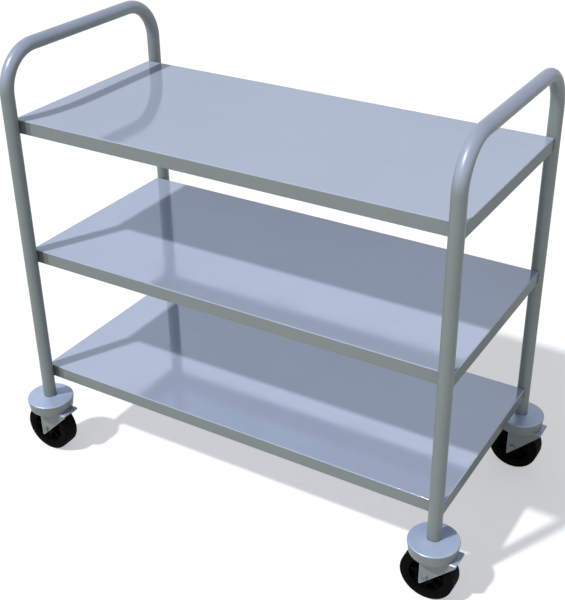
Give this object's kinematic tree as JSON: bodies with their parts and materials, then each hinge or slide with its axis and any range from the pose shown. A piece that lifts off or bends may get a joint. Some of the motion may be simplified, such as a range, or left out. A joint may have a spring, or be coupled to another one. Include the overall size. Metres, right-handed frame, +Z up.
{
  "type": "serving trolley",
  "caption": "Open shelf serving trolley of folded stainless sheet pans between bent tube end frames whose tops are push handles, on swivel castors with black wheels.",
  "frame": {"origin": "on the floor under the middle of the shelves", "axes": "+Z up, X along the shelves from the left handle to the right one, -Y the front long side"},
  "size_m": [0.9517, 0.5074, 0.8405],
  "materials": {
    "stainless_tube": "satin brushed stainless tube",
    "stainless_sheet": "polished stainless sheet",
    "castor_steel": "satin stainless pressing",
    "fastener_steel": "plain stainless fasteners",
    "bearing_steel": "ground bearing steel",
    "tyre_rubber": "matt black rubber",
    "wheel_plastic": "moulded black plastic",
    "bush_plastic": "natural acetal",
    "saddle_plastic": "dark grey moulded plastic"
  },
  "bodies": {
    "frame": {"left_end_frame": "stainless_tube", "right_end_frame": "stainless_tube", "top_shelf": "stainless_sheet", "middle_shelf": "stainless_sheet", "bottom_shelf": "stainless_sheet", "top_stiffener": "stainless_sheet", "middle_stiffener": "stainless_sheet", "bottom_stiffener": "stainless_sheet", "leg_inserts": "fastener_steel", "kingpins": "fastener_steel", "shelf_screws": "fastener_steel", "shelf_washers": "fastener_steel", "saddle_spacers": "saddle_plastic", "rivet_nuts": "fastener_steel", "front_left_castor_head": "castor_steel", "front_left_upper_race": "bearing_steel", "front_right_castor_head": "castor_steel", "front_right_upper_race": "bearing_steel", "rear_left_castor_head": "castor_steel", "rear_left_upper_race": "bearing_steel", "rear_right_castor_head": "castor_steel", "rear_right_upper_race": "bearing_steel"},
    "front_left_swivel": {"front_left_fork": "castor_steel", "front_left_lower_race": "bearing_steel", "front_left_race_balls": "bearing_steel", "front_left_axle_bolt": "fastener_steel", "front_left_axle_nut": "fastener_steel", "front_left_axle_sleeve": "fastener_steel"},
    "front_left_wheel": {"front_left_tyre": "tyre_rubber", "front_left_wheel_core": "wheel_plastic", "front_left_wheel_bush": "bush_plastic"},
    "front_right_swivel": {"front_right_fork": "castor_steel", "front_right_lower_race": "bearing_steel", "front_right_race_balls": "bearing_steel", "front_right_axle_bolt": "fastener_steel", "front_right_axle_nut": "fastener_steel", "front_right_axle_sleeve": "fastener_steel"},
    "front_right_wheel": {"front_right_tyre": "tyre_rubber", "front_right_wheel_core": "wheel_plastic", "front_right_wheel_bush": "bush_plastic"},
    "rear_left_swivel": {"rear_left_fork": "castor_steel", "rear_left_lower_race": "bearing_steel", "rear_left_race_balls": "bearing_steel", "rear_left_axle_bolt": "fastener_steel", "rear_left_axle_nut": "fastener_steel", "rear_left_axle_sleeve": "fastener_steel"},
    "rear_left_wheel": {"rear_left_tyre": "tyre_rubber", "rear_left_wheel_core": "wheel_plastic", "rear_left_wheel_bush": "bush_plastic"},
    "rear_right_swivel": {"rear_right_fork": "castor_steel", "rear_right_lower_race": "bearing_steel", "rear_right_race_balls": "bearing_steel", "rear_right_axle_bolt": "fastener_steel", "rear_right_axle_nut": "fastener_steel", "rear_right_axle_sleeve": "fastener_steel"},
    "rear_right_wheel": {"rear_right_tyre": "tyre_rubber", "rear_right_wheel_core": "wheel_plastic", "rear_right_wheel_bush": "bush_plastic"}
  },
  "joints": [
    {"name": "front_left_castor_turn", "type": "hinge", "parent": "frame", "child": "front_left_swivel", "pos_m": [-0.4236, -0.2081, 0.1055], "axis": [0, 0, 1], "continuous": true},
    {"name": "front_left_wheel_roll", "type": "hinge", "parent": "front_left_swivel", "child": "front_left_wheel", "pos_m": [-0.4276, -0.2081, 0.05], "axis": [0, 1, 0], "continuous": true},
    {"name": "front_right_castor_turn", "type": "hinge", "parent": "frame", "child": "front_right_swivel", "pos_m": [0.4236, -0.2081, 0.1055], "axis": [0, 0, 1], "continuous": true},
    {"name": "front_right_wheel_roll", "type": "hinge", "parent": "front_right_swivel", "child": "front_right_wheel", "pos_m": [0.4196, -0.2081, 0.05], "axis": [0, 1, 0], "continuous": true},
    {"name": "rear_left_castor_turn", "type": "hinge", "parent": "frame", "child": "rear_left_swivel", "pos_m": [-0.4236, 0.2081, 0.1055], "axis": [0, 0, 1], "continuous": true},
    {"name": "rear_left_wheel_roll", "type": "hinge", "parent": "rear_left_swivel", "child": "rear_left_wheel", "pos_m": [-0.4276, 0.2081, 0.05], "axis": [0, 1, 0], "continuous": true},
    {"name": "rear_right_castor_turn", "type": "hinge", "parent": "frame", "child": "rear_right_swivel", "pos_m": [0.4236, 0.2081, 0.1055], "axis": [0, 0, 1], "continuous": true},
    {"name": "rear_right_wheel_roll", "type": "hinge", "parent": "rear_right_swivel", "child": "rear_right_wheel", "pos_m": [0.4196, 0.2081, 0.05], "axis": [0, 1, 0], "continuous": true}
  ]
}
